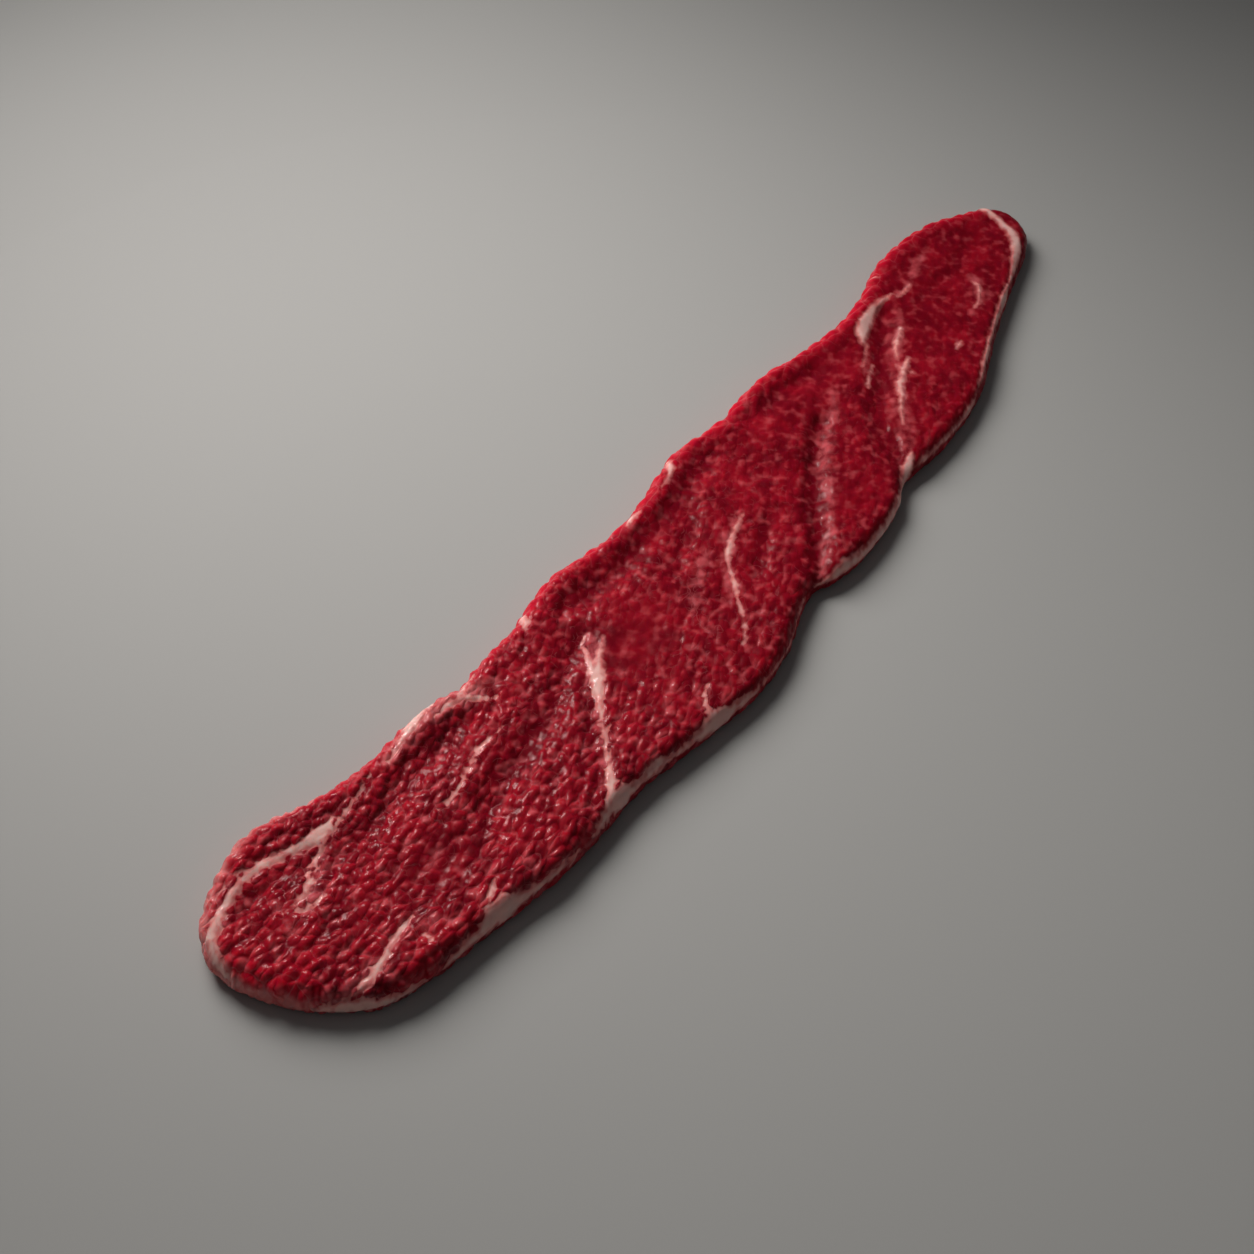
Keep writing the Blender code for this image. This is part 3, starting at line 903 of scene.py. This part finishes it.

# %% [markdown]
# ## The meat material
# One Principled shader covers muscle and fat, because they grow into each other. Muscle is a
# deep red, with painted shade in the seams between bundles, in the furrows between their rows
# and in the folds; it also differs from bundle to bundle and is streaked by fine fibres. Its left
# rim, which faces the lamp, is painted a brighter red as painted light, most on the bundle tops,
# and where pale streaks reach it a rose film is laid on, partly a thin skin and partly painted
# light. Fat is cream pink. Thin pale lines mark some of the seams. Light sinks a millimetre or
# two into both before it comes out again, which subsurface scattering copies. Juice is the
# coat: it shines on the tops of the bundles, most of all in lively meat, and hardly in the
# seams. A bump repeats the bundles, and adds fibres and grit that are finer than the mesh.

# %% Colours of muscle and fat
# MUSCLE_DARK is where painted shade and the meat's own darker tone take the muscle.
MUSCLE_DARK = (0.19, 0.001, 0.008, 1)
MUSCLE_RED = (0.43, 0.005, 0.018, 1)
MUSCLE_PINK = (0.7, 0.125, 0.14, 1)
# The rim red is painted light, for the left rim that faces the lamp.
RIM_LIT_RED = (0.74, 0.004, 0.028, 1)
FAT_CREAM = (0.96, 0.52, 0.46, 1)
FAT_ROSE = (0.74, 0.2, 0.19, 1)
SEAM_PALE = (0.62, 0.16, 0.17, 1)
FIBRE_LENGTH = 5.0
FIBRE_WIDTH = 0.55
THREAD_SPACING = 4.5
THREAD_SHIFT = (37, 11, 0)
BLOTCH_SPACING = 14
MOTTLE_SPACING = 4.5
PATCH_SPACING = 3.4
WET_SPACING = 7
GRIT_SPACING = 1.5
BUMP_DEPTH = 0.34 * MM


def mix_colour(tree, factor, a, b):
    """Two colours mixed by a factor."""
    return add(tree, "ShaderNodeMix", {0: factor, 6: a, 7: b}, data_type="RGBA").outputs[2]


material = bpy.data.materials.new("raw_beef")
material.use_nodes = True
tree = material.node_tree
shader = tree.nodes["Principled BSDF"]
grain_uv = add(tree, "ShaderNodeUVMap", uv_map="grain").outputs[0]
fat_in, lively_in, pale_in, fold_in, left_rim = (
    add(tree, "ShaderNodeAttribute", attribute_name=name).outputs["Fac"]
    for name in ("fat", "lively", "pale", "fold", "left_rim")
)
bundles = add(tree, "ShaderNodeGroup", node_tree=bundle_group("ShaderNodeTree"))
tree.links.new(grain_uv, bundles.inputs["Grain"])
height, seam, tint, furrow, rim_seam = bundles.outputs

# %% Muscle colour
fibre_space = vector_math(tree, "MULTIPLY", grain_uv, (1 / FIBRE_LENGTH, 1 / FIBRE_WIDTH, 0))
fibres = noise_at(tree, fibre_space, 1.0, 2.0, 0.6)
blotches = noise_at(tree, grain_uv, 1 / BLOTCH_SPACING, 3.0)
mottle = noise_at(tree, grain_uv, 1 / MOTTLE_SPACING, 1.5)
mottle = math_node(tree, "SUBTRACT", mottle, 0.5)
mottle = math_node(tree, "MULTIPLY_ADD", mottle, ramp(tree, lively_in, 0.2, 0.6, 0.6, 1.0), 0.5)
# Painted shade: the muscle is darker where the bundle relief is low, in the seams between bundles.
# The tint, mottle, blotches and fibres added below are the meat's own tone.
relief = math_node(tree, "MULTIPLY", height, lively_in)
painted_shade_and_tone = math_node(tree, "MULTIPLY_ADD", relief, 0.55, 0.32)
odd_bundles = ramp(tree, tint, 0.0, 1.0, -0.12, 0.2)
painted_shade_and_tone = math_node(tree, "ADD", painted_shade_and_tone, math_node(tree, "MULTIPLY", odd_bundles, lively_in))
# Painted shade in the furrows between rows of bundles.
rows = math_node(tree, "MULTIPLY", ramp(tree, furrow, 0.0, 1.0, -0.4, 0.15), lively_in)
painted_shade_and_tone = math_node(tree, "ADD", painted_shade_and_tone, rows)
painted_shade_and_tone = math_node(tree, "ADD", painted_shade_and_tone, ramp(tree, mottle, 0.3, 0.7, -0.3, 0.3))
painted_shade_and_tone = math_node(tree, "ADD", painted_shade_and_tone, ramp(tree, blotches, 0.3, 0.7, -0.3, 0.2))
# Painted shade in the folds, darker where they are deeper.
painted_shade_and_tone = math_node(tree, "SUBTRACT", painted_shade_and_tone, ramp(tree, fold_in, 0.4, 2.6, 0.0, 0.45))
streaks = math_node(tree, "MULTIPLY", ramp(tree, fibres, 0.35, 0.65, -0.15, 0.15), lively_in)
painted_shade_and_tone = math_node(tree, "ADD", painted_shade_and_tone, streaks, clamp=True)
muscle = mix_colour(tree, painted_shade_and_tone, MUSCLE_DARK, MUSCLE_RED)
# Painted light: a brighter red on the left rim, which faces the lamp, stronger on the bundle tops.
painted_rim_light = math_node(tree, "MULTIPLY", left_rim, math_node(tree, "MULTIPLY_ADD", height, 0.5, 0.4))
muscle = mix_colour(tree, painted_rim_light, muscle, RIM_LIT_RED)
# Pinker meat: mostly the meat's own mottled tone, plus the pale streaks, which are partly a thin
# skin and partly painted light on the banks of folds.
pale_share = math_node(tree, "MULTIPLY_ADD", pale_in, 0.15, mottle)
pale_share = ramp(tree, pale_share, 0.49, 0.82, 0.0, 0.7)
muscle = mix_colour(tree, pale_share, muscle, MUSCLE_PINK)
# A rose film over the left rim where the pale streaks reach it: partly a thin skin, partly painted
# light that brightens the rim.
rim_film_and_light = math_node(tree, "MULTIPLY", left_rim, ramp(tree, pale_in, 0.2, 0.9, 0.0, 1.6))
rim_film_and_light = math_node(tree, "MULTIPLY", rim_film_and_light, ramp(tree, mottle, 0.35, 0.6, 0.35, 1.0), clamp=True)
muscle = mix_colour(tree, rim_film_and_light, muscle, FAT_ROSE)

# %% Pale seams and fat
patches = noise_at(tree, grain_uv, 1 / PATCH_SPACING, 1.0)
patchy = ramp(tree, patches, 0.5, 0.62, 0.0, 0.4)
near_fat = math_node(tree, "MULTIPLY", ramp(tree, fat_in, -3.0, 0.0, 0.0, 0.7), lively_in)
patchy = math_node(tree, "MAXIMUM", patchy, near_fat)
patchy = math_node(tree, "MAXIMUM", patchy, ramp(tree, pale_in, 0.2, 1.0, 0.0, 0.6))
thread_space = vector_math(tree, "ADD", grain_uv, THREAD_SHIFT)
threads = noise_at(tree, thread_space, 1 / THREAD_SPACING, 0.5)
threads = math_node(tree, "SUBTRACT", threads, 0.5)
threads = ramp(tree, math_node(tree, "ABSOLUTE", threads), 0.0, 0.025, 0.6, 0.0)
threads = math_node(tree, "MAXIMUM", threads, ramp(tree, seam, 0.01, 0.05, 0.4, 0.0))
threads = math_node(tree, "MULTIPLY", threads, patchy)
threads = math_node(tree, "MULTIPLY", threads, ramp(tree, lively_in, 0.2, 0.6, 0.2, 1.0))
rim_cuts = math_node(tree, "MULTIPLY", ramp(tree, rim_seam, 0.01, 0.05, 0.4, 0.0), left_rim)
colour = mix_colour(tree, math_node(tree, "MAXIMUM", threads, rim_cuts), muscle, SEAM_PALE)
ragged = ramp(tree, patches, 0.25, 0.75, -0.5, 0.5)
bitten = math_node(tree, "MULTIPLY", ramp(tree, seam, 0.0, 0.35, 0.5, -0.5), lively_in)
fat_edge = math_node(tree, "ADD", fat_in, math_node(tree, "ADD", ragged, bitten))
softness = ramp(tree, lively_in, 0.25, 0.6, 1.0, 0.4)
fat_mask = ramp(tree, fat_edge, math_node(tree, "MULTIPLY", softness, -1.0), softness)
fat_tone = math_node(tree, "MULTIPLY_ADD", mottle, 3.0, math_node(tree, "SUBTRACT", fat_edge, 1.5))
fat_tone = ramp(tree, fat_tone, 0.0, 2.2)
fat_colour = mix_colour(tree, fat_tone, FAT_ROSE, FAT_CREAM)
colour = mix_colour(tree, fat_mask, colour, fat_colour)
tree.links.new(colour, shader.inputs["Base Color"])

# %% Shine and fine relief
wet = noise_at(tree, grain_uv, 1 / WET_SPACING, 2.0)
tree.links.new(ramp(tree, wet, 0.3, 0.7, 0.5, 0.35), shader.inputs["Roughness"])
juice = math_node(tree, "MULTIPLY_ADD", pale_in, 0.1, ramp(tree, lively_in, 0.3, 0.9, 0.2, 0.85))
juice = math_node(tree, "MULTIPLY", juice, ramp(tree, wet, 0.35, 0.55, 0.4, 1.0))
juice = math_node(tree, "MULTIPLY", juice, ramp(tree, height, 0.45, 0.7, 0.05, 1.0), clamp=True)
tree.links.new(juice, shader.inputs["Coat Weight"])
shader.inputs["Coat Roughness"].default_value = 0.08
shader.inputs["Coat IOR"].default_value = 1.4
shader.inputs["Specular IOR Level"].default_value = 0.03
shader.inputs["Subsurface Weight"].default_value = 0.6
shader.inputs["Subsurface Radius"].default_value = (1.0, 0.3, 0.25)
shader.inputs["Subsurface Scale"].default_value = 1.8 * MM
fine = math_node(tree, "MULTIPLY_ADD", math_node(tree, "MULTIPLY", fibres, lively_in), 0.12, relief)
grit = ramp(tree, lively_in, 0.4, 0.9, 0.03, 0.12)
grains = noise_at(tree, grain_uv, 1 / GRIT_SPACING, 1.0)
fine = math_node(tree, "MULTIPLY_ADD", grains, grit, fine)
fine = math_node(tree, "MULTIPLY", fine, ramp(tree, fat_mask, 0.0, 1.0, 1.0, 0.25))
bump = add(
    tree,
    "ShaderNodeBump",
    {"Strength": 1.0, "Distance": BUMP_DEPTH, "Height": fine},
).outputs["Normal"]
tree.links.new(bump, shader.inputs["Normal"])
meat_data.materials.clear()
meat_data.materials.append(material)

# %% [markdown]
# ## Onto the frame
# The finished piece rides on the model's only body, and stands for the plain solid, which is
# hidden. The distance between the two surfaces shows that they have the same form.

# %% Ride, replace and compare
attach(meat, "root")
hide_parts("steak")

SPOT_STEP = 40
solid = frame["nodes"]["steak"].data
solid_places = [vertex.co for vertex in solid.vertices]
solid_tree = BVHTree.FromPolygons(solid_places, [face.vertices for face in solid.polygons])
spots = [Vector(row) for row in (vertices[::SPOT_STEP] * MM).tolist()]
gaps = [solid_tree.find_nearest(spot)[3] / MM for spot in spots]
print("mm from the solid: mean", round(np.mean(gaps), 2), "largest", round(max(gaps), 2))
